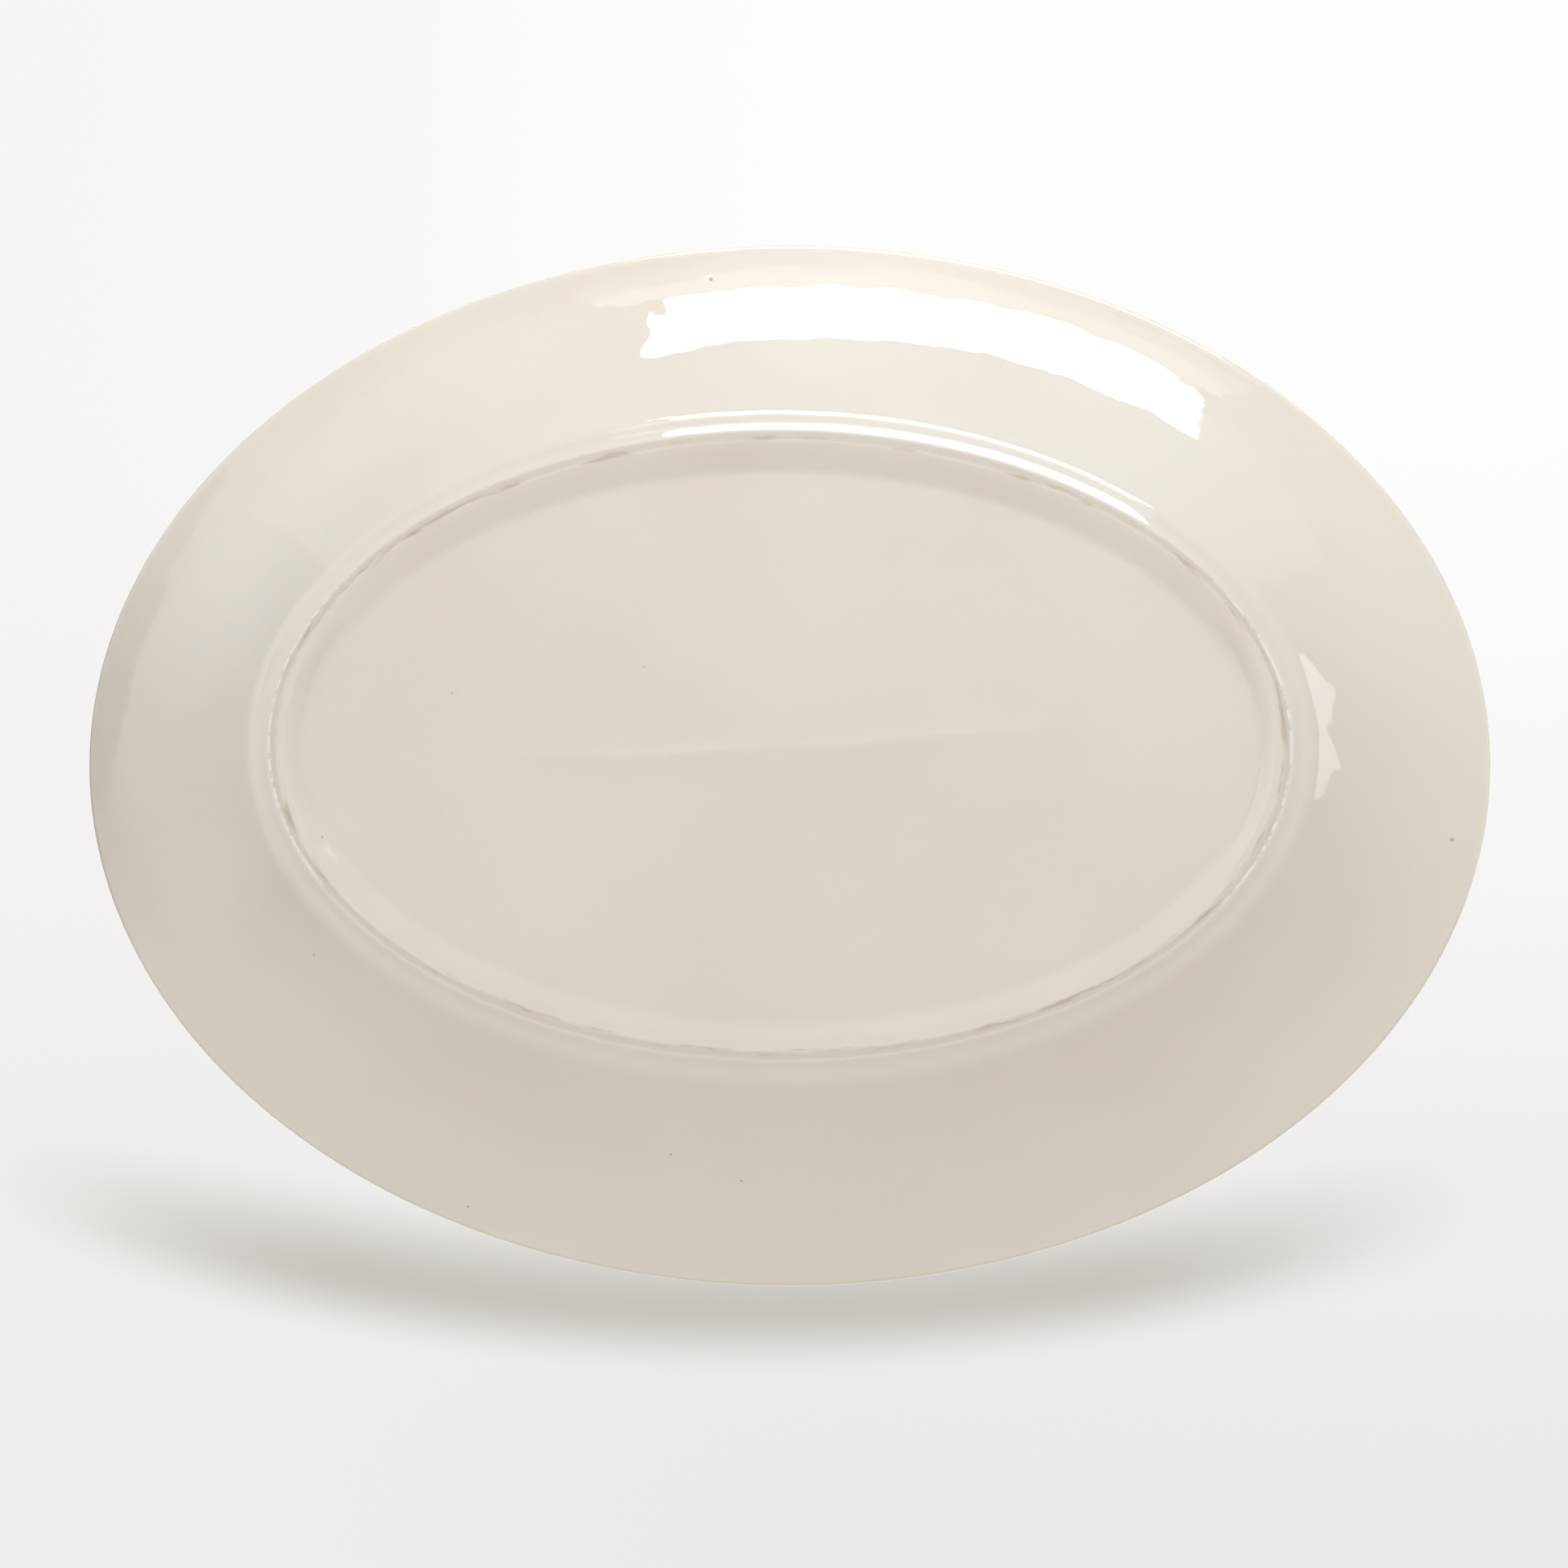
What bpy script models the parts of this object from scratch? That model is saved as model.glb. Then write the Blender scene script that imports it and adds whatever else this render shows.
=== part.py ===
"""Oval china serving platter, one fired piece: a flat well, a smoothly rising rim and a ring foot.

Metres, +Z up. The origin is the centre of the plane that the foot stands on, and the length runs along X.
The wall is drawn as a profile across the short side, and carried round from the oval of the foot to the
oval of the rim, which is rounder than the foot.
"""

import bpy
import numpy as np

# Overall size
LENGTH = 0.406
WIDTH = 0.304
HEIGHT = 0.032

# Foot ring, measured to the middle of the flat bare band that it stands on
FOOT_LENGTH = 0.2892
FOOT_WIDTH = 0.1778
FOOT_BAND = 0.0020
FOOT_DEPTH = 0.0034        # the back's floor lies this far above the foot plane
FOOT_INNER_RUN = 0.0103    # from the band's edge in to the back's flat floor
FOOT_OUTER_RUN = 0.0090    # from the band's edge out to where the wall turns up

# Wall
WELL_THICKNESS = 0.0050
RIM_THICKNESS = 0.0032     # also the diameter of the rounded lip
LIP_SLOPE = 0.16           # rise over run of the wall where it meets the lip
WELL_BLEND = 0.0020        # softness of the turn from the well's floor to the wall

# Slope of the back at stations across the foot, as (share of the run, rise over run).
# The outer run's last slope is the wall's own, which follows from the overall size.
INNER_STATIONS = ((0.0, 0.0), (0.12, 0.34), (0.40, 0.41), (0.70, 0.43), (1.0, 0.0))
OUTER_STATIONS = ((0.0, 0.0), (0.13, 0.54), (0.49, 0.27))

# Facets
SEGMENTS = 80              # round the oval
FOOT_STEPS = 6             # across each side of the foot
WALL_STEPS = 9             # from the foot to the lip
LIP_STEPS = 6              # round the lip
WELL_STEPS = 7             # across the turn from the well's floor to the wall
FINE = 400                 # steps used to add up a slope into a height


def climb(stations, run):
    """Distances and heights of a curve whose slope eases from one station to the next."""
    share = np.linspace(0.0, 1.0, FINE + 1)
    places, slopes = np.array(stations).T
    span = np.clip(np.searchsorted(places, share, side="right") - 1, 0, len(places) - 2)
    part = (share - places[span]) / (places[span + 1] - places[span])
    eased = part * part * (3.0 - 2.0 * part)
    slope = slopes[span] + (slopes[span + 1] - slopes[span]) * eased
    rise = (slope[1:] + slope[:-1]) / 2.0 * run / FINE
    return share * run, np.concatenate(([0.0], np.cumsum(rise)))


def foot_outside(wall_slope):
    """Distances and heights from the band's edge out to where the wall starts at its own slope."""
    return climb(OUTER_STATIONS + ((1.0, wall_slope),), FOOT_OUTER_RUN)


def wall_line():
    """Start, foot height, end, lip height and first slope of the wall's back, which flattens evenly to the lip."""
    lip = RIM_THICKNESS / 2.0
    tilt = np.arctan(LIP_SLOPE)
    start = FOOT_BAND / 2.0 + FOOT_OUTER_RUN
    end = (WIDTH - FOOT_WIDTH) / 2.0 - lip * (1.0 - np.sin(tilt))
    top = HEIGHT - lip * (1.0 + np.cos(tilt))
    slope = LIP_SLOPE
    for _ in range(20):
        base = foot_outside(slope)[1][-1]
        slope = 2.0 * (top - base) / (end - start) - LIP_SLOPE
    return start, base, end, top, slope


def wall_back(offset):
    """Height and slope of the back of the wall at offsets out from the foot's band, and its straight run-on."""
    start, base, end, _, first_slope = wall_line()
    along = (offset - start) / (end - start)
    held = np.clip(along, 0.0, 1.0)
    slope = first_slope + (LIP_SLOPE - first_slope) * held
    height = base + (end - start) * (first_slope + slope) / 2.0 * held
    return height + slope * (along - held) * (end - start), slope


def well_front(offset):
    """Height of the top face: the flat floor of the well, eased into the wall's inner face."""
    start, _, end, _, _ = wall_line()
    height, slope = wall_back(offset)
    share = np.clip((offset - start) / (end - start), 0.0, 1.0)
    thickness = WELL_THICKNESS + (RIM_THICKNESS - WELL_THICKNESS) * share
    floor = FOOT_DEPTH + WELL_THICKNESS
    above = height + thickness * np.sqrt(1.0 + slope * slope) - floor
    return floor + WELL_BLEND * np.logaddexp(0.0, above / WELL_BLEND)


def profile():
    """Offsets from the band's middle and heights, from the back's floor out round the lip to the well's floor."""
    half_band = FOOT_BAND / 2.0
    start, _, end, top, wall_slope = wall_line()

    run, rise = climb(INNER_STATIONS, FOOT_INNER_RUN)
    picks = np.linspace(1.0, 0.0, FOOT_STEPS + 1)
    inner = np.column_stack((-half_band - picks * FOOT_INNER_RUN,
                             np.interp(picks * FOOT_INNER_RUN, run, rise) * FOOT_DEPTH / rise[-1]))

    run, rise = foot_outside(wall_slope)
    picks = np.linspace(0.0, 1.0, FOOT_STEPS + 1)
    outer = np.column_stack((half_band + picks * FOOT_OUTER_RUN,
                             np.interp(picks * FOOT_OUTER_RUN, run, rise)))

    offsets = np.linspace(start, end, WALL_STEPS + 1)[1:]
    back = np.column_stack((offsets, wall_back(offsets)[0]))

    lip = RIM_THICKNESS / 2.0
    tilt = np.arctan(LIP_SLOPE)
    turn = np.radians(np.linspace(-90.0, 90.0, LIP_STEPS + 1))[1:] + tilt
    centre = np.array((end - lip * np.sin(tilt), top + lip * np.cos(tilt)))
    edge = centre + lip * np.column_stack((np.cos(turn), np.sin(turn)))

    well_edge = start + WELL_BLEND
    offsets = np.concatenate((np.linspace(edge[-1, 0], well_edge, WALL_STEPS + 1)[1:-1],
                              np.linspace(well_edge, -half_band - FOOT_INNER_RUN, WELL_STEPS + 1)))
    front = np.column_stack((offsets, well_front(offsets)))
    return np.concatenate((inner, outer, back, edge, front))


def oval_rings(outline):
    """One oval of points for each profile point, between the foot's oval and the rim's or inside the foot's."""
    turn = np.linspace(0.0, 2.0 * np.pi, SEGMENTS, endpoint=False)
    offset, height = outline[:, :1], outline[:, 1:]
    end_share = (LENGTH - FOOT_LENGTH) / (WIDTH - FOOT_WIDTH)
    half_length = FOOT_LENGTH / 2.0 + np.where(offset > 0.0, offset * end_share, offset)
    half_width = FOOT_WIDTH / 2.0 + offset
    return np.stack((half_length * np.cos(turn), half_width * np.sin(turn), height + 0.0 * turn), axis=-1)


def loft(name, rings):
    """A closed mesh through rings of points, with a flat face across the first and the last ring."""
    count, around = rings.shape[:2]
    faces = [tuple(reversed(range(around)))]
    for ring in range(count - 1):
        low, high = ring * around, (ring + 1) * around
        for side in range(around):
            after = (side + 1) % around
            faces.append((low + side, low + after, high + after, high + side))
    faces.append(tuple(range((count - 1) * around, count * around)))
    mesh = bpy.data.meshes.new(name)
    mesh.from_pydata(rings.reshape(-1, 3).tolist(), [], faces)
    mesh.validate()
    mesh.shade_smooth()
    mesh.set_sharp_from_angle(angle=np.radians(35.0))
    return mesh


def china():
    """Cream glazed porcelain."""
    material = bpy.data.materials.new("glazed_china")
    material.use_nodes = True
    shader = material.node_tree.nodes["Principled BSDF"]
    shader.inputs["Base Color"].default_value = (0.78, 0.75, 0.68, 1.0)
    shader.inputs["Roughness"].default_value = 0.10
    shader.inputs["Metallic"].default_value = 0.0
    return material


def build():
    for old in list(bpy.data.objects):
        bpy.data.objects.remove(old)
    parts = bpy.data.collections.new("serving_platter")
    bpy.context.scene.collection.children.link(parts)
    mesh = loft("platter", oval_rings(profile()))
    mesh.materials.append(china())
    parts.objects.link(bpy.data.objects.new("platter", mesh))


build()
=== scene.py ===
"""An oval china serving platter, shown from its back: one fired piece under soft studio light.

Metres, +Z up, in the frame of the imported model. The platter lies on its foot, and its length runs along X.
"""

import bpy
import numpy as np
from mathutils import Matrix, Vector


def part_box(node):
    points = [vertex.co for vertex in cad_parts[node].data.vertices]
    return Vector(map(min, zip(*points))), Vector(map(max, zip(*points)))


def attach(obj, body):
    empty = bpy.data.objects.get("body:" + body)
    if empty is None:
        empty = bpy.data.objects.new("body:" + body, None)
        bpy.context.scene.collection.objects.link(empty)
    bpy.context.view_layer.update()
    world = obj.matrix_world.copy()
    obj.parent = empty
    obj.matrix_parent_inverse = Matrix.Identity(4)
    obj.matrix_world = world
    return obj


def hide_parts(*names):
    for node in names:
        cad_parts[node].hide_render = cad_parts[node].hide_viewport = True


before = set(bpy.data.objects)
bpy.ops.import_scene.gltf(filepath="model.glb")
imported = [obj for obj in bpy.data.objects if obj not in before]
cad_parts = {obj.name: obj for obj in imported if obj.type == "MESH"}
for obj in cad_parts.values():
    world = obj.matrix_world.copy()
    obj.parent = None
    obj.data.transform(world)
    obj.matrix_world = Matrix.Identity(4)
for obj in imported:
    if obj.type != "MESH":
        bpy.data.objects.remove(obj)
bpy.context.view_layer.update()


# ------------------------------------------------------------------------------------------------
# The platter. It is one piece of porcelain, jiggered over an oval mould: a flat floor, a foot ring
# drawn out of the same clay, and a wall that flattens towards a rounded lip. The glaze covers all
# of it but a narrow band of the foot, which was wiped so that the platter could stand in the kiln.
# ------------------------------------------------------------------------------------------------

low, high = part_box("platter")
LENGTH, WIDTH, HEIGHT = high[0] - low[0], high[1] - low[1], high[2]

# Foot ring, measured to the middle of the bare band that it stands on
FOOT_LENGTH = 0.2892
FOOT_WIDTH = 0.1778
FOOT_BAND = 0.0020
FOOT_DEPTH = 0.0034
FOOT_INNER_RUN = 0.0103
FOOT_OUTER_RUN = 0.0090
INNER_LONG_SIDES = ((0.0, 0.0), (0.12, 0.34), (0.40, 0.41), (0.70, 0.43), (1.0, 0.0))
INNER_ENDS = ((0.0, 0.0), (0.18, 0.10), (0.30, 1.00), (0.55, 1.25), (0.69, 0.10), (1.0, 0.0))
OUTER_STATIONS = ((0.0, 0.0), (0.13, 0.54), (0.49, 0.27))

# Wall
WELL_THICKNESS = 0.0050
RIM_THICKNESS = 0.0032
LIP_SLOPE = 0.16
WELL_BLEND = 0.0020


def climb(stations, run, steps=600):
    """Distances and heights of a curve whose slope eases from one station to the next.

    Between two stations the slope goes from the one to the other as 3s^2 - 2s^3, and the heights
    are the running sum of the slope.
    """
    share = np.linspace(0.0, 1.0, steps + 1)
    places, slopes = np.array(stations).T
    span = np.clip(np.searchsorted(places, share, side="right") - 1, 0, len(places) - 2)
    part = (share - places[span]) / (places[span + 1] - places[span])
    slope = slopes[span] + (slopes[span + 1] - slopes[span]) * part * part * (3.0 - 2.0 * part)
    rise = (slope[1:] + slope[:-1]) / 2.0 * run / steps
    return share * run, np.concatenate(([0.0], np.cumsum(rise)))


def wall_line():
    """Start, foot height, end, lip height and first slope of the wall's back.

    The wall starts where the foot's outer curve ends and stops at the lip's lower edge. Its slope
    falls evenly, so the mean of its first and last slope carries it between the two heights.
    """
    lip = RIM_THICKNESS / 2.0
    tilt = np.arctan(LIP_SLOPE)
    start = FOOT_BAND / 2.0 + FOOT_OUTER_RUN
    end = (WIDTH - FOOT_WIDTH) / 2.0 - lip * (1.0 - np.sin(tilt))
    top = HEIGHT - lip * (1.0 + np.cos(tilt))
    slope = LIP_SLOPE
    for _ in range(20):
        base = climb(OUTER_STATIONS + ((1.0, slope),), FOOT_OUTER_RUN)[1][-1]
        slope = 2.0 * (top - base) / (end - start) - LIP_SLOPE
    return start, base, end, top, slope


def back_height(offset, endness):
    """Height of the back at a distance out from the band's middle: floor, foot, then wall.

    The foot's inner side is steeper round the oval's two ends, by their share of `endness`.
    """
    start, base, end, _, first = wall_line()
    half_band = FOOT_BAND / 2.0
    run_in, rise_long = climb(INNER_LONG_SIDES, FOOT_INNER_RUN)
    rise_end = climb(INNER_ENDS, FOOT_INNER_RUN)[1]
    run_out, rise_out = climb(OUTER_STATIONS + ((1.0, first),), FOOT_OUTER_RUN)
    inner_long = np.interp(-offset - half_band, run_in, rise_long / rise_long[-1])
    inner_end = np.interp(-offset - half_band, run_in, rise_end / rise_end[-1])
    inner = FOOT_DEPTH * (inner_long + (inner_end - inner_long) * endness)
    outer = np.interp(offset - half_band, run_out, rise_out)
    along = np.clip((offset - start) / (end - start), 0.0, 1.0)
    wall = base + (end - start) * along * (first + (LIP_SLOPE - first) * along / 2.0)
    return np.where(offset < 0.0, inner, np.where(offset < start, outer, wall))


def front_height(offset):
    """Height of the front: the wall's back plus its thickness, eased into the well's flat floor."""
    start, _, end, _, first = wall_line()
    along = (offset - start) / (end - start)
    held = np.clip(along, 0.0, 1.0)
    slope = first + (LIP_SLOPE - first) * held
    back = back_height(np.maximum(offset, start), 0.0) + slope * (along - held) * (end - start)
    thickness = WELL_THICKNESS + (RIM_THICKNESS - WELL_THICKNESS) * held
    floor = FOOT_DEPTH + WELL_THICKNESS
    above = back + thickness * np.sqrt(1.0 + slope * slope) - floor
    return floor + WELL_BLEND * np.logaddexp(0.0, above / WELL_BLEND)


# Points across each stretch of the profile, from the middle of the back round to the middle of the well
BACK_FLOOR_POINTS, FOOT_POINTS, BAND_POINTS, WALL_POINTS = 23, 22, 5, 42
LIP_POINTS, RIM_FRONT_POINTS, WELL_TURN_POINTS, WELL_FLOOR_POINTS = 11, 17, 14, 13


def platter_rings():
    """Half length, half width, height, offset and frontness of each oval ring, at the middle of a long side.

    The rings start at the middle of the back's floor, go out over the foot and the wall, round the
    lip, and back over the front to the middle of the well. Outside the band the half length grows
    faster than the half width, because the rim is a rounder oval than the foot. On the two floors
    the rings are the floor's own oval, shrunk towards its middle.
    """
    half_band = FOOT_BAND / 2.0
    start, _, end, top, _ = wall_line()
    floor_edge = -half_band - FOOT_INNER_RUN
    back = np.concatenate((
        np.linspace(floor_edge, -half_band, FOOT_POINTS)[:-1],
        np.linspace(-half_band, half_band, BAND_POINTS)[:-1],
        np.linspace(half_band, start, FOOT_POINTS)[:-1], np.linspace(start, end, WALL_POINTS)))

    lip, tilt = RIM_THICKNESS / 2.0, np.arctan(LIP_SLOPE)
    turn = np.radians(np.linspace(-90.0, 90.0, LIP_POINTS)) + tilt
    lip_offset = end + lip * (np.cos(turn) - np.sin(tilt))
    lip_height = top + lip * (np.cos(tilt) + np.sin(turn))
    well_edge = start + WELL_BLEND
    front = np.concatenate((np.linspace(lip_offset[-1], well_edge, RIM_FRONT_POINTS)[1:-1],
                            np.linspace(well_edge, floor_edge, WELL_TURN_POINTS)))

    offset = np.concatenate((back[:-1], lip_offset, front))
    height = np.concatenate((back_height(back, 0.0)[:-1], lip_height, front_height(front)))
    end_share = (LENGTH - FOOT_LENGTH) / (WIDTH - FOOT_WIDTH)
    half_length = FOOT_LENGTH / 2.0 + np.where(offset > 0.0, offset * end_share, offset)
    half_width = FOOT_WIDTH / 2.0 + offset
    frontness = np.concatenate((np.zeros(len(back) - 1), np.linspace(0.0, 1.0, len(lip_offset)),
                                np.ones(len(front))))

    under = np.linspace(0.0, 1.0, BACK_FLOOR_POINTS)[1:-1]
    over = np.linspace(1.0, 0.0, WELL_FLOOR_POINTS)[1:-1]
    inner_length, inner_width = half_length[0], half_width[0]
    half_length = np.concatenate((under * inner_length, half_length, over * half_length[-1]))
    half_width = np.concatenate((under * inner_width, half_width, over * half_width[-1]))
    height = np.concatenate((0.0 * under + height[0], height, 0.0 * over + height[-1]))
    offset = np.concatenate(((under - 1.0) * inner_width + floor_edge, offset,
                             (over - 1.0) * inner_width + floor_edge))
    frontness = np.concatenate((0.0 * under, frontness, 0.0 * over + 1.0))
    return half_length, half_width, height, offset, frontness


def ripple(x, y, shortest, longest, slope, count, seed):
    """Sum of sine waves of random direction, phase and length, whose slopes add up to `slope`.

    Each wave's height is its share of the slope times its length over 2 pi.
    """
    chance = np.random.default_rng(seed)
    lengths = np.geomspace(shortest, longest, count)
    heading = chance.uniform(0.0, 2.0 * np.pi, count)
    phase = chance.uniform(0.0, 2.0 * np.pi, count)
    height = np.zeros_like(x)
    for length, head, start in zip(lengths, heading, phase):
        along = (x * np.cos(head) + y * np.sin(head)) * 2.0 * np.pi / length
        height += slope * np.sqrt(2.0 / count) * length / (2.0 * np.pi) * np.sin(along + start)
    return height


def closed_mesh(name, rings, low_pole, high_pole, values):
    """A closed mesh over a grid of rings with a point at either end, and a value for every point."""
    count, around = rings.shape[:2]
    points = np.concatenate((rings.reshape(-1, 3), low_pole[None], high_pole[None]))
    index = np.arange(count * around).reshape(count, around)
    after = np.roll(index, -1, axis=1)
    quads = np.stack((index[:-1], after[:-1], after[1:], index[1:]), axis=-1).reshape(-1, 4)
    low_fan = np.stack((after[0], index[0], np.full(around, count * around)), axis=-1)
    high_fan = np.stack((index[-1], after[-1], np.full(around, count * around + 1)), axis=-1)
    mesh = bpy.data.meshes.new(name)
    mesh.from_pydata(points.tolist(), [], low_fan.tolist() + quads.tolist() + high_fan.tolist())
    mesh.shade_smooth()
    for label, value in values.items():
        kind = "FLOAT" if value.ndim == 1 else "FLOAT_VECTOR"
        held = mesh.attributes.new(label, kind, "POINT")
        held.data.foreach_set("value" if value.ndim == 1 else "vector", value.ravel().astype(np.float32))
    return mesh


SEGMENTS = 600
turn = np.linspace(0.0, 2.0 * np.pi, SEGMENTS, endpoint=False)
half_length, half_width, height, offset, frontness = [ring[:, None] for ring in platter_rings()]
x = half_length * np.cos(turn)
y = half_width * np.sin(turn)

# The clay pulls a little out of true as it dries and fires: long warps that both faces share.
warp = ripple(x, y, 0.11, 0.26, 0.0055, 5, seed=4)
# The glaze runs in short soft waves, other ones on each face.
waves = (ripple(x, y, 0.007, 0.032, 0.0080, 20, seed=8) * (1.0 - frontness)
         + ripple(x, y, 0.013, 0.045, 0.0045, 12, seed=15) * frontness)
# The back's floor stands up in one low fold across its middle, sharp along its upper side.
CREASE_HALF = 0.068
CREASE_HEIGHT = 0.00080
CREASE_WIDTH = 0.0042
crease_line = 0.0012 - 0.070 * x - 0.39 * x * x + 0.0005 * np.sin(x / 0.009)
crease_across = np.abs(y - crease_line) / np.where(y > crease_line, CREASE_WIDTH, 0.6 * CREASE_WIDTH)
crease = (-CREASE_HEIGHT * np.exp(-np.hypot(crease_across, 0.25) + 0.25)
          * np.exp(-(x / CREASE_HALF) ** 4) * (1.0 - frontness))
endness = np.clip((np.abs(np.cos(turn)) - 0.88) / 0.10, 0.0, 1.0)
endness = endness * endness * (3.0 - 2.0 * endness)
inside = (offset < 0.0) & (frontness < 0.5)
height = height + np.where(inside, back_height(offset, endness) - back_height(offset, 0.0), 0.0)
steady = np.clip((np.abs(offset) - 0.001) / 0.010, 0.0, 1.0)
z = height + warp + crease + waves * (0.3 + 0.7 * steady)
z -= z.min()

rings = np.stack((x, y, z), axis=-1)
foot_place = np.stack((FOOT_LENGTH / 2.0 * np.cos(turn) + 0.0 * x, FOOT_WIDTH / 2.0 * np.sin(turn) + 0.0 * x,
                       offset + 0.0 * x), axis=-1).reshape(-1, 3)
ends = np.array(((0.0, 0.0, offset[0, 0]), (0.0, 0.0, offset[-1, 0])))
front_value = np.append((frontness + 0.0 * x).ravel(), (0.0, 1.0))
low_pole = np.array((0.0, 0.0, z[0].mean()))
high_pole = np.array((0.0, 0.0, z[-1].mean()))
mesh = closed_mesh("china_platter", rings, low_pole, high_pole,
                   {"foot_place": np.concatenate((foot_place, ends)), "front": front_value})
platter = bpy.data.objects.new("china_platter", mesh)
bpy.context.scene.collection.objects.link(platter)


def node(tree, kind, sockets=(), **settings):
    """Adds a shader node with its settings. A socket given a value holds it; one given a socket is linked."""
    made = tree.nodes.new("ShaderNode" + kind)
    for name, value in settings.items():
        setattr(made, name, value)
    for name, value in dict(sockets).items():
        if isinstance(value, bpy.types.NodeSocket):
            tree.links.new(value, made.inputs[name])
        else:
            made.inputs[name].default_value = value
    return made


def sums(tree, operation, *values, clamp=False):
    """The result of one Math node on values or sockets."""
    return node(tree, "Math", enumerate(values), operation=operation, use_clamp=clamp).outputs[0]


def ease(tree, value, start, end, low=0.0, high=1.0):
    """A value carried smoothly from `low` at `start` to `high` at `end`, and held outside them."""
    sockets = {"Value": value, "From Min": start, "From Max": end, "To Min": low, "To Max": high}
    return node(tree, "MapRange", sockets, interpolation_type="SMOOTHSTEP").outputs["Result"]


def paint(tree, share, below, above):
    """A colour that goes from `below` to `above` with the share."""
    mix = node(tree, "Mix", data_type="RGBA")
    for socket, value in zip((mix.inputs[0], mix.inputs[6], mix.inputs[7]), (share, below, above)):
        if isinstance(value, bpy.types.NodeSocket):
            tree.links.new(value, socket)
        else:
            socket.default_value = value
    return mix.outputs[2]


glaze = bpy.data.materials.new("cream_glaze")
glaze.use_nodes = True
tree = glaze.node_tree
shader = tree.nodes["Principled BSDF"]
place = node(tree, "TexCoord").outputs["Object"]
foot = node(tree, "Attribute", attribute_name="foot_place").outputs["Vector"]
out_from_band = node(tree, "SeparateXYZ", {0: foot}).outputs["Z"]

# Body colour under the glaze, cloudy at the scale of a hand
cloud = node(tree, "TexNoise", {"Vector": place, "Scale": 14.0, "Detail": 2.0}).outputs["Fac"]
colour = paint(tree, ease(tree, cloud, 0.3, 0.7), (0.838, 0.790, 0.709, 1.0), (0.862, 0.821, 0.744, 1.0))

# Pinholes and pinpoint specks of iron, one here and there
spots = node(tree, "TexVoronoi", {"Vector": place, "Scale": 55.0}, feature="F1")
picked = sums(tree, "GREATER_THAN", node(tree, "SeparateColor", {0: spots.outputs["Color"]}).outputs[0], 0.78)
speck = sums(tree, "MULTIPLY", ease(tree, spots.outputs["Distance"], 0.012, 0.022, 1.0, 0.0), picked)
colour = paint(tree, sums(tree, "MULTIPLY", speck, 0.45), colour, (0.20, 0.14, 0.09, 1.0))

# A glaze pit near the rim that fired rusty, with a pale crescent painted along one side of it: a painted
# highlight on the pit's edge
PIT_PLACE, PIT_GLINT_PLACE = (-0.0240, -0.1409, 0.0270), (-0.0246, -0.1413, 0.0272)


def away_from(spot):
    """Distance of the shaded point from a place on the platter."""
    return node(tree, "VectorMath", {0: place, 1: spot}, operation="DISTANCE").outputs["Value"]


pit, pit_glint = away_from(PIT_PLACE), away_from(PIT_GLINT_PLACE)
# The pale crescent along one side of the pit is a painted highlight on its edge.
colour = paint(tree, ease(tree, pit_glint, 0.0010, 0.0014, 0.9, 0.0), colour, (0.98, 0.97, 0.95, 1.0))
colour = paint(tree, ease(tree, pit, 0.0004, 0.0010, 0.85, 0.0), colour, (0.52, 0.30, 0.14, 1.0))

# Lone iron marks, each a place and a radius
IRON_MARKS = ((0.192, 0.022, 0.027, 0.0009), (-0.029, 0.116, 0.017, 0.0005), (-0.009, 0.123, 0.020, 0.0005),
              (-0.088, 0.131, 0.028, 0.0006), (-0.132, 0.061, 0.010, 0.0004), (0.080, 0.013, 0.003, 0.0004))
for *spot, radius in IRON_MARKS:
    stain = ease(tree, away_from(spot), radius * 0.5, radius, 0.6, 0.0)
    colour = paint(tree, stain, colour, (0.42, 0.30, 0.15, 1.0))

# The wiped band of the foot: bare, greyer, and grimy in dashes where it has rubbed on shelves
wander = node(tree, "TexNoise", {"Vector": foot, "Scale": 220.0, "Detail": 3.0}).outputs["Fac"]
edge = sums(tree, "ADD", sums(tree, "ABSOLUTE", out_from_band), sums(tree, "MULTIPLY", wander, 0.0010))
bare = ease(tree, edge, 0.0011, 0.0018, 1.0, 0.0)
stretched = node(tree, "VectorMath", {0: foot, 1: (70.0, 70.0, 500.0)}, operation="MULTIPLY").outputs[0]
dashes = node(tree, "TexNoise", {"Vector": stretched, "Scale": 1.0, "Detail": 5.0, "Roughness": 0.62})
inner_edge = sums(tree, "ADD", out_from_band, sums(tree, "MULTIPLY_ADD", wander, 0.0010, 0.0004))
inner_edge = sums(tree, "ABSOLUTE", inner_edge)
grime = sums(tree, "MULTIPLY", ease(tree, dashes.outputs["Fac"], 0.47, 0.70),
             ease(tree, inner_edge, 0.0003, 0.0013, 1.0, 0.0))
colour = paint(tree, sums(tree, "MULTIPLY", bare, 0.55), colour, (0.70, 0.655, 0.575, 1.0))
colour = paint(tree, sums(tree, "MULTIPLY", grime, 0.50), colour, (0.45, 0.33, 0.20, 1.0))

# Round the two ends a thin broken pale line is painted along the outer edge of the band: a painted highlight
# where the crest catches the light
far_out = sums(tree, "ABSOLUTE", node(tree, "SeparateXYZ", {0: foot}).outputs["X"])
crest_glint_noise = node(tree, "TexNoise", {"Vector": foot, "Scale": 420.0, "Detail": 3.0}).outputs["Fac"]
CREST_GLINT_LINE = 0.0009
from_line = sums(tree, "ABSOLUTE", sums(tree, "SUBTRACT", out_from_band, CREST_GLINT_LINE))
line = ease(tree, from_line, 0.00015, 0.00055, 1.0, 0.0)
crest_glint = sums(tree, "MULTIPLY", sums(tree, "MULTIPLY", line, ease(tree, crest_glint_noise, 0.40, 0.52)),
               ease(tree, far_out, 0.118, 0.134))
# The pale line is a painted highlight along the crest.
colour = paint(tree, sums(tree, "MULTIPLY", crest_glint, 0.9), colour, (0.97, 0.945, 0.915, 1.0))

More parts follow.
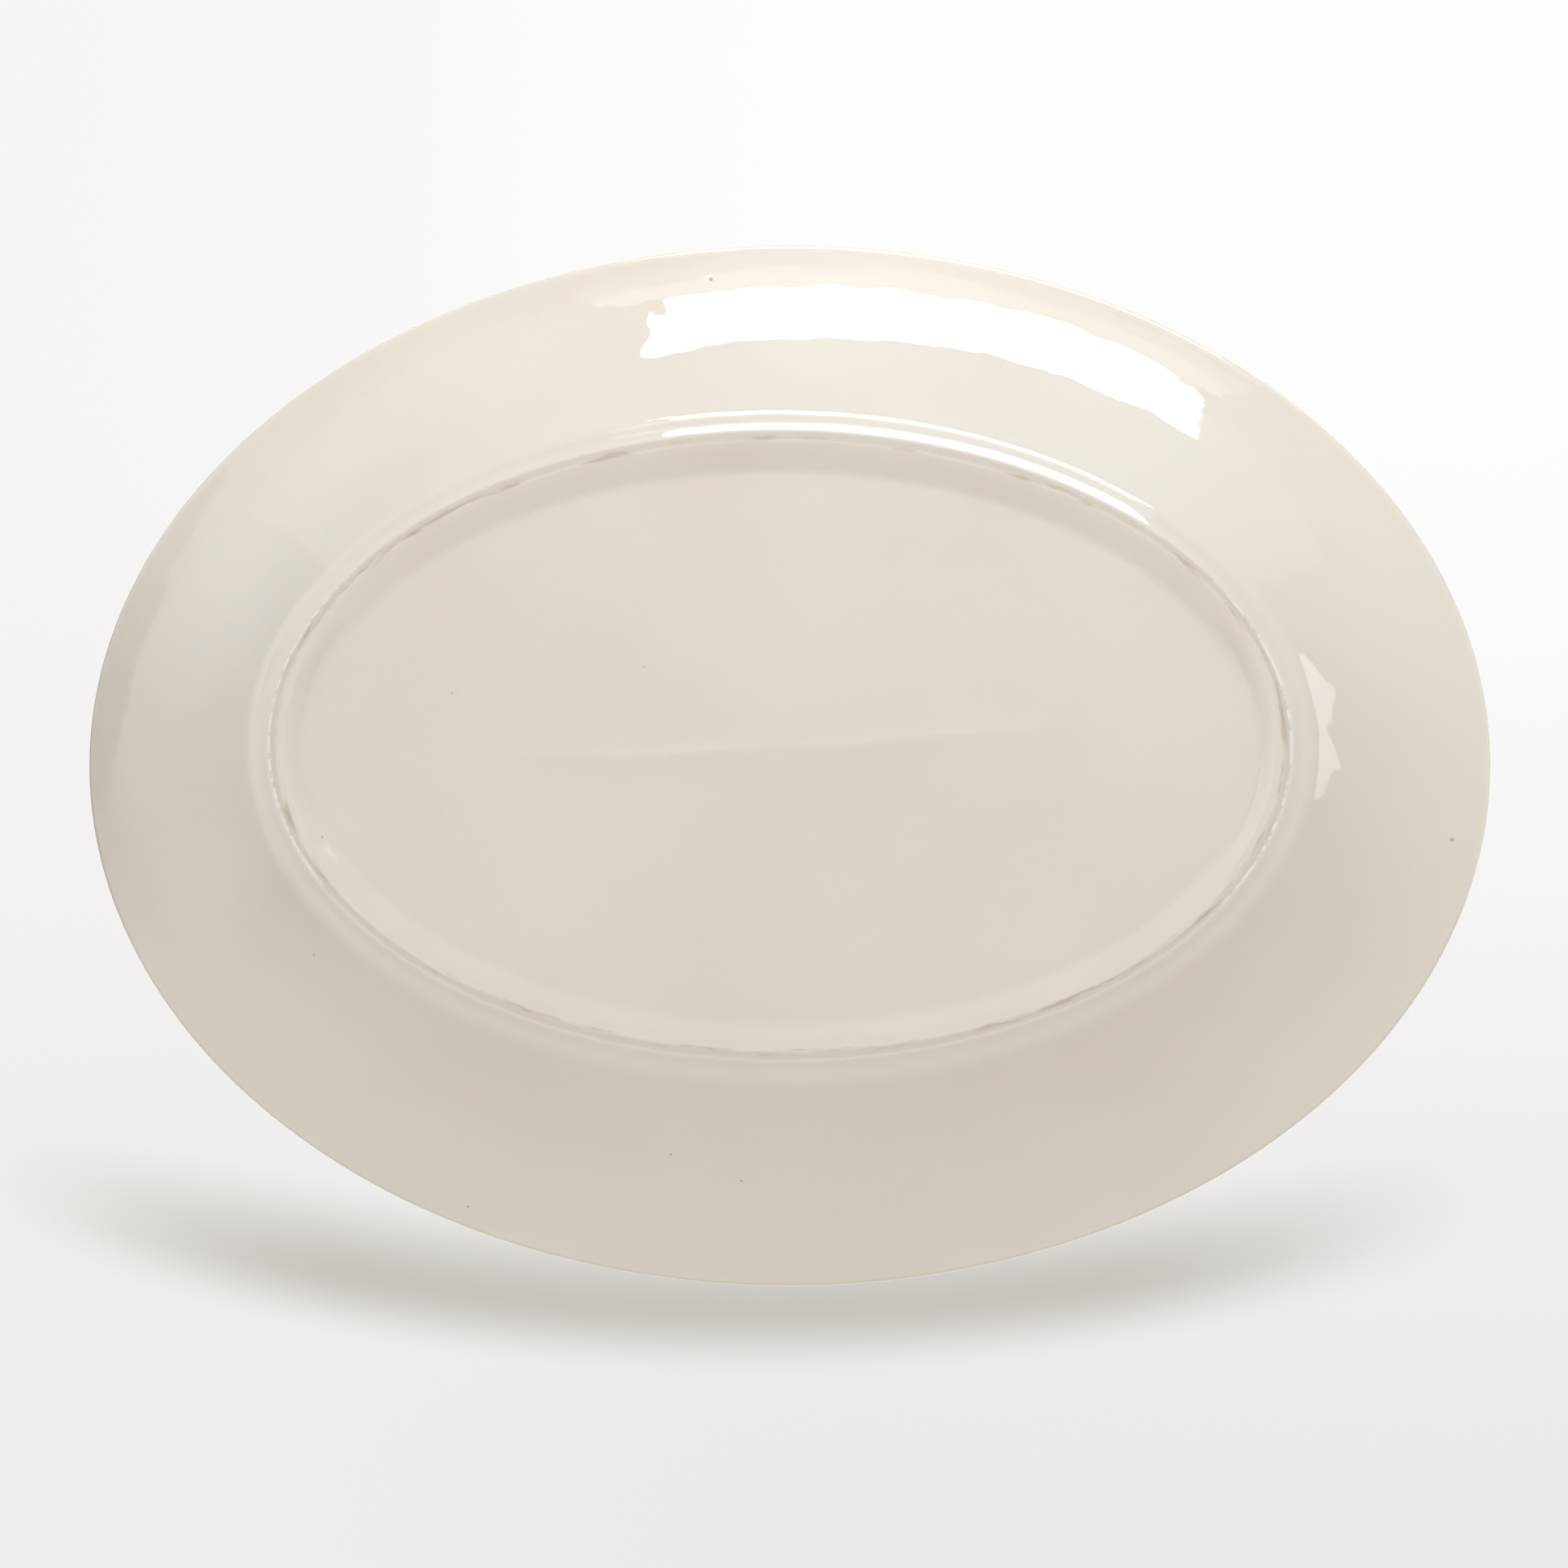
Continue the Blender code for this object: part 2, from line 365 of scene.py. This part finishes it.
smear = node(tree, "TexNoise", {"Vector": place, "Scale": 38.0, "Detail": 4.0}).outputs["Fac"]
gloss = ease(tree, smear, 0.35, 0.75, 0.020, 0.050)
rough = sums(tree, "ADD", gloss, sums(tree, "MULTIPLY", bare, 0.30))

# The glaze's skin: soft dimples a few millimetres across, and a finer orange peel
dimples = node(tree, "TexNoise", {"Vector": place, "Scale": 110.0, "Detail": 2.0}).outputs["Fac"]
peel = node(tree, "TexNoise", {"Vector": place, "Scale": 620.0, "Detail": 1.0}).outputs["Fac"]
skin = sums(tree, "ADD", dimples, sums(tree, "MULTIPLY", peel, 0.05))
bump = node(tree, "Bump", {"Height": skin, "Distance": 0.000060, "Strength": 1.0}).outputs["Normal"]

tree.links.new(colour, shader.inputs["Base Color"])
tree.links.new(rough, shader.inputs["Roughness"])
tree.links.new(bump, shader.inputs["Normal"])
shader.inputs["IOR"].default_value = 1.5
shader.inputs["Subsurface Weight"].default_value = 1.0
shader.inputs["Subsurface Radius"].default_value = (1.0, 0.90, 0.80)
shader.inputs["Subsurface Scale"].default_value = 0.0010
mesh.materials.append(glaze)

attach(platter, "root")
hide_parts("platter")


# ------------------------------------------------------------------------------------------------
# The camera looks square on at the back, from a little below its middle and to one side.
# Its right, up and back axes are the frame's, turned by the two tilts and the roll.
# ------------------------------------------------------------------------------------------------

CAMERA_DISTANCE = 1.600
TILT_UP, TILT_SIDE, ROLL = np.radians((7.931, 3.953, -0.587))
CAMERA_SHIFT = (-0.00106, 0.00950)
SENSOR, LENS = 36.0, 128.28

middle = Vector((0.0, 0.0, 0.0152))
tilt_up = Matrix.Rotation(-TILT_UP, 3, "X")
tilt_side = Matrix.Rotation(-TILT_SIDE, 3, "Y")
roll = Matrix.Rotation(ROLL, 3, "Z")
flip = Matrix.Diagonal((1.0, -1.0, -1.0))
to_camera = roll @ tilt_side @ tilt_up @ flip
from_camera = to_camera.transposed()


def seen_from_camera(right, up, toward):
    """A place or direction given as right, up and towards the camera from the platter's middle."""
    return middle + from_camera @ Vector((right, up, toward))


camera_data = bpy.data.cameras.new("camera")
camera_data.sensor_width = SENSOR
camera_data.lens = LENS
camera_data.clip_end = 50.0
camera = bpy.data.objects.new("camera", camera_data)
camera.matrix_world = Matrix.Translation(
    seen_from_camera(-CAMERA_SHIFT[0], -CAMERA_SHIFT[1], CAMERA_DISTANCE)) @ from_camera.to_4x4()
bpy.context.scene.collection.objects.link(camera)
bpy.context.scene.camera = camera


# ------------------------------------------------------------------------------------------------
# The light is a white room, brightest towards the camera, with one softbox and its skirt above the camera's
# view, a ceiling of paper, a tall strip at the right, and a panel over the well that lights the front side.
# ------------------------------------------------------------------------------------------------

def panel(name, place, facing, along, width, height, brightness):
    """A flat soft light of even brightness; its power is its brightness times its area times pi.

    Its place, the way back along its beam, and the way its width runs are in the camera's axes.
    """
    data = bpy.data.lights.new(name, "AREA")
    data.shape = "RECTANGLE"
    data.size, data.size_y = width, height
    data.energy = brightness * width * height * np.pi
    light = bpy.data.objects.new(name, data)
    across = facing.cross(along).normalized()
    turned = Matrix((across.cross(facing), across, facing)).transposed()
    light.matrix_world = Matrix.Translation(seen_from_camera(*place)) @ (from_camera @ turned).to_4x4()
    light.visible_camera = False
    bpy.context.scene.collection.objects.link(light)
    return light


def direction(azimuth, elevation):
    """Unit vector in the camera's axes, azimuth to the right from straight back, elevation upwards."""
    azimuth, elevation = np.radians((azimuth, elevation))
    level = np.cos(elevation)
    return Vector((np.sin(azimuth) * level, np.sin(elevation), np.cos(azimuth) * level))


RIGHTWARD, UPWARD, TOWARD = Vector((1.0, 0.0, 0.0)), Vector((0.0, 1.0, 0.0)), Vector((0.0, 0.0, 1.0))
KEY_FACING = Vector((0.05, 0.87, 0.47)).normalized()
KEY_ALONG = Vector((0.970, -0.154, 0.183)).normalized()
KEY_PLACE = Vector((0.060, 0.480, 0.156))
SKIRT_DROP = 0.122
SKIRT_PLACE = KEY_PLACE - KEY_FACING.cross(KEY_ALONG) * SKIRT_DROP
key_softbox = panel("key_softbox", KEY_PLACE, KEY_FACING, KEY_ALONG,
                    width=0.385, height=0.130, brightness=2.75)
key_skirt = panel("key_skirt", SKIRT_PLACE, KEY_FACING, KEY_ALONG, width=0.40, height=0.11, brightness=1.0)

STRIP_FACING = direction(73.0, 12.0)
STRIP_ALONG = STRIP_FACING.cross(UPWARD).normalized()
STRIP_DISTANCE = 0.50
STRIP_PLACE = STRIP_FACING * STRIP_DISTANCE
STRIP_SHIFT = 0.105
right_strip = panel("right_strip", STRIP_PLACE - STRIP_ALONG * STRIP_SHIFT, STRIP_FACING, STRIP_ALONG,
                    width=0.11, height=0.25, brightness=1.9)
# The glaze mirrors shaped faces in place of these three, which are made with the stage.
key_softbox.visible_glossy = key_skirt.visible_glossy = right_strip.visible_glossy = False
panel("ceiling", (0.0, 0.42, -0.05), UPWARD, RIGHTWARD, width=1.0, height=0.5, brightness=0.42)
panel("well_panel", (0.0, 0.0, -0.50), -TOWARD, RIGHTWARD, width=1.0, height=1.0, brightness=0.8)

world = bpy.data.worlds.new("white_room")
world.use_nodes = True
tree = world.node_tree
background = tree.nodes["Background"]
way = node(tree, "TexCoord").outputs["Generated"]


def towards(heading):
    """How far a direction points along a heading in the camera's axes, from 1 along it to -1 against it."""
    heading = from_camera @ heading
    return node(tree, "VectorMath", {0: way, 1: heading}, operation="DOT_PRODUCT").outputs["Value"]


def cone(heading, outer, inner, low=0.0, high=1.0):
    """`high` within `inner` degrees of a heading, carried smoothly to `low` at `outer` degrees."""
    return ease(tree, towards(heading), np.cos(np.radians(outer)), np.cos(np.radians(inner)), low, high)


ROOM_SIDES = ((TOWARD, 0.79), (-TOWARD, 0.70), (UPWARD, 0.13), (-UPWARD, 0.38), (RIGHTWARD, 0.25))
shade = 0.0
for heading, brightness in ROOM_SIDES:
    lobe = sums(tree, "MAXIMUM", towards(heading), 0.0)
    shade = sums(tree, "ADD", shade, sums(tree, "MULTIPLY", lobe, brightness))
upper_left = cone(direction(-60.0, 35.0), 35.0, 15.0)
shade = sums(tree, "ADD", shade, sums(tree, "MULTIPLY", upper_left, 0.46))
left_wall = cone(direction(-76.0, 12.0), 36.0, 20.0)
shade = sums(tree, "ADD", shade, sums(tree, "MULTIPLY", left_wall, 0.60))
doorway = cone(direction(-38.0, 22.0), 12.0, 10.0, low=1.0, high=0.05)
shade = sums(tree, "MULTIPLY", shade, doorway)
seen = node(tree, "LightPath").outputs["Is Camera Ray"]
# What comes up from the table is a little warm
warmth = sums(tree, "MAXIMUM", towards(-UPWARD), 0.0)
GREEN_LOSS, BLUE_LOSS = 0.05, 0.12
green, blue = [sums(tree, "MULTIPLY", shade, sums(tree, "MULTIPLY_ADD", warmth, -loss, 1.0))
               for loss in (GREEN_LOSS, BLUE_LOSS)]
room = node(tree, "CombineColor", {0: shade, 1: green, 2: blue}).outputs[0]
shade = paint(tree, seen, room, (0.88, 0.88, 0.87, 1.0))
tree.links.new(shade, background.inputs["Color"])
background.inputs["Strength"].default_value = 1.0
bpy.context.scene.world = world


# ------------------------------------------------------------------------------------------------
# The stage: a pale table that curves up into a sweep for the views from above, and a screen over the platter
# for the view of its back, which glows by itself with painted shade and a painted shadow of the platter.
# Each shows from one side only, and neither lights the china. A net shades the platter's left end, and
# shaped faces stand for the lamps where the glaze mirrors them.
# ------------------------------------------------------------------------------------------------

def one_sided(name, colour_of, lit):
    """A material that shows on its front side only. It is lit paper, or a screen that glows by itself."""
    material = bpy.data.materials.new(name)
    material.use_nodes = True
    tree = material.node_tree
    tree.nodes.remove(tree.nodes["Principled BSDF"])
    front = node(tree, "BsdfDiffuse" if lit else "Emission", {"Color": colour_of(tree)}).outputs[0]
    behind = node(tree, "NewGeometry").outputs["Backfacing"]
    clear = node(tree, "BsdfTransparent").outputs[0]
    mix = node(tree, "MixShader", {0: behind, 1: front, 2: clear}).outputs[0]
    tree.links.new(mix, tree.nodes["Material Output"].inputs["Surface"])
    return material


def plain_paper(name, kind, colour):
    """A material that is one shader of one colour."""
    material = bpy.data.materials.new(name)
    material.use_nodes = True
    tree = material.node_tree
    tree.nodes.remove(tree.nodes["Principled BSDF"])
    paper = node(tree, kind, {"Color": colour}).outputs[0]
    tree.links.new(paper, tree.nodes["Material Output"].inputs["Surface"])
    return material


def stage_piece(name, points, faces, material):
    """A stage surface that only the camera sees, unless its visibility is changed afterwards."""
    mesh = bpy.data.meshes.new(name)
    mesh.from_pydata(points, [], faces)
    mesh.shade_smooth()
    mesh.materials.append(material)
    made = bpy.data.objects.new(name, mesh)
    made.visible_diffuse = made.visible_glossy = made.visible_transmission = False
    made.visible_shadow = made.visible_volume_scatter = False
    bpy.context.scene.collection.objects.link(made)
    return made


# The table is a disc of rings, flat to 2.2 m and then turning up in a quarter round.
TABLE_RADIUS, SWEEP_RADIUS, SWEEP_WALL = 2.2, 1.2, 1.5
rise = np.radians(np.linspace(0.0, 90.0, 13))
radius = np.concatenate((np.linspace(0.3, TABLE_RADIUS, 6)[:-1], TABLE_RADIUS + SWEEP_RADIUS * np.sin(rise),
                         [TABLE_RADIUS + SWEEP_RADIUS]))[:, None]
level = np.concatenate((np.zeros(5), SWEEP_RADIUS * (1.0 - np.cos(rise)),
                        [SWEEP_RADIUS + SWEEP_WALL]))[:, None]
TABLE_SIDES = 96
round_table = np.linspace(0.0, 2.0 * np.pi, TABLE_SIDES, endpoint=False)
grid = np.stack((radius * np.cos(round_table), radius * np.sin(round_table), level + 0.0 * round_table),
                axis=-1)
index = np.arange(radius.size * TABLE_SIDES).reshape(-1, TABLE_SIDES)
after = np.roll(index, -1, axis=1)
quads = np.stack((index[:-1], index[1:], after[1:], after[:-1]), axis=-1).reshape(-1, 4).tolist()
stage_piece("table", grid.reshape(-1, 3).tolist(), [tuple(range(TABLE_SIDES))] + quads,
            one_sided("pale_table", lambda tree: (0.86, 0.86, 0.85, 1.0), lit=True))

# The screen is as wide as the camera's view at its height, and more. Its colour follows the view's own
# centre and half width there.
SCREEN_HEIGHT, SCREEN_HALF = 1.5, 0.9
camera_place = np.array(camera.matrix_world.translation)
ahead = Vector((CAMERA_SHIFT[0] * SENSOR / LENS, CAMERA_SHIFT[1] * SENSOR / LENS, -1.0))
ahead = np.array(from_camera @ ahead)
screen_middle = camera_place + ahead * (SCREEN_HEIGHT - camera_place[2]) / ahead[2]
VIEW_HALF = np.linalg.norm(screen_middle - camera_place) * SENSOR / LENS / 2.0


def painted_screen_colour(tree):
    """White, with painted shade a little greyer to the left and the bottom of the view, and a soft curved
    band of painted shadow standing for the platter's shadow.

    The band is a parabola across the view, and the painted shadow falls off smoothly to both sides of it and
    towards its two ends.
    """
    place = node(tree, "SeparateXYZ", {0: node(tree, "TexCoord").outputs["Object"]}).outputs
    across = sums(tree, "DIVIDE", sums(tree, "SUBTRACT", place["X"], screen_middle[0]), VIEW_HALF)
    up = sums(tree, "DIVIDE", sums(tree, "SUBTRACT", screen_middle[1], place["Y"]), VIEW_HALF)
    # Painted shade: the screen turns greyer towards the bottom and the left of the view.
    colour = paint(tree, ease(tree, up, -0.95, 0.55), (0.835, 0.825, 0.810, 1.0), (0.985, 0.980, 0.975, 1.0))
    left_shade = sums(tree, "MULTIPLY", ease(tree, across, 0.1, -1.0), 0.6)
    colour = paint(tree, left_shade, colour, (0.890, 0.862, 0.840, 1.0))
    # A painted shadow of the platter: a soft band of shade along a parabola across the view.
    bow = sums(tree, "POWER", sums(tree, "ADD", across, 0.068), 2.0)
    from_shadow_line = sums(tree, "SUBTRACT", up, sums(tree, "MULTIPLY_ADD", bow, 0.174, -0.690))
    below = ease(tree, from_shadow_line, -0.085, 0.0)
    above = ease(tree, from_shadow_line, 0.0, 0.13, 1.0, 0.0)
    reach = ease(tree, sums(tree, "ABSOLUTE", sums(tree, "ADD", across, 0.068)), 0.45, 0.98, 1.0, 0.0)
    depth = sums(tree, "MULTIPLY", sums(tree, "MULTIPLY", below, above), sums(tree, "POWER", reach, 0.8))
    return paint(tree, depth, colour, (0.585, 0.552, 0.515, 1.0))


points = [(SCREEN_HALF * a, SCREEN_HALF * b, SCREEN_HEIGHT) for a, b in ((-1, -1), (-1, 1), (1, 1), (1, -1))]
stage_piece("screen", points, [(0, 1, 2, 3)], one_sided("screen_with_painted_shadow", painted_screen_colour, lit=False))

# A half net stands by the left end of the platter and keeps some of the stray light off its rim.
NET_SIDE = -0.214
NET_CORNERS = ((-0.05, -0.03), (0.06, -0.03), (0.06, 0.002), (-0.05, 0.002))
corners = [seen_from_camera(NET_SIDE, height, depth) for height, depth in NET_CORNERS]
net = stage_piece("half_net", corners, [(0, 1, 2, 3)],
                  plain_paper("net_cloth", "BsdfTransparent", (0.50, 0.46, 0.42, 1.0)))
net.visible_camera = False
net.visible_diffuse = net.visible_shadow = True

# The faces of the softbox, its skirt and the strip as the glaze mirrors them: places along and across
# each. The skirt fades in three steps away from the softbox.
KEY_OUTLINE = ((-0.172, -0.065), (0.173, -0.067), (0.203, -0.015), (0.224, 0.052), (0.190, 0.058),
               (0.120, 0.056), (0.0, 0.061), (-0.150, 0.061), (-0.215, 0.072), (-0.227, 0.058), (-0.192, 0.0))
STRIP_OUTLINE = ((-0.150, 0.145), (-0.110, 0.140), (-0.060, 0.055), (-0.068, -0.013), (-0.044, -0.067),
                 (-0.038, -0.130), (-0.080, -0.190), (-0.150, -0.240), (-0.205, -0.240), (-0.175, -0.100))
for name, outline, middle_of_face, facing, along, brightness in (
        ("softbox_face", KEY_OUTLINE, KEY_PLACE, KEY_FACING, KEY_ALONG, 9.0),
        ("skirt_near", ((-0.20, -0.067), (0.20, -0.067), (0.20, -0.110), (-0.20, -0.110)),
         KEY_PLACE, KEY_FACING, KEY_ALONG, 2.6),
        ("skirt_middle", ((-0.20, -0.110), (0.20, -0.110), (0.20, -0.150), (-0.20, -0.150)),
         KEY_PLACE, KEY_FACING, KEY_ALONG, 1.6),
        ("skirt_far", ((-0.20, -0.150), (0.20, -0.150), (0.20, -0.200), (-0.20, -0.200)),
         KEY_PLACE, KEY_FACING, KEY_ALONG, 0.8),
        ("strip_face", STRIP_OUTLINE, STRIP_PLACE, -STRIP_FACING, STRIP_ALONG, 3.0)):
    across = facing.cross(along)
    corners = [seen_from_camera(*(middle_of_face + along * a + across * b)) for a, b in outline]
    face = stage_piece(name, corners, [tuple(range(len(corners)))],
                       plain_paper(name + "_cloth", "Emission", (brightness, brightness, brightness, 1.0)))
    face.visible_camera = False
    face.visible_glossy = True

bpy.context.scene.view_settings.view_transform = "Standard"
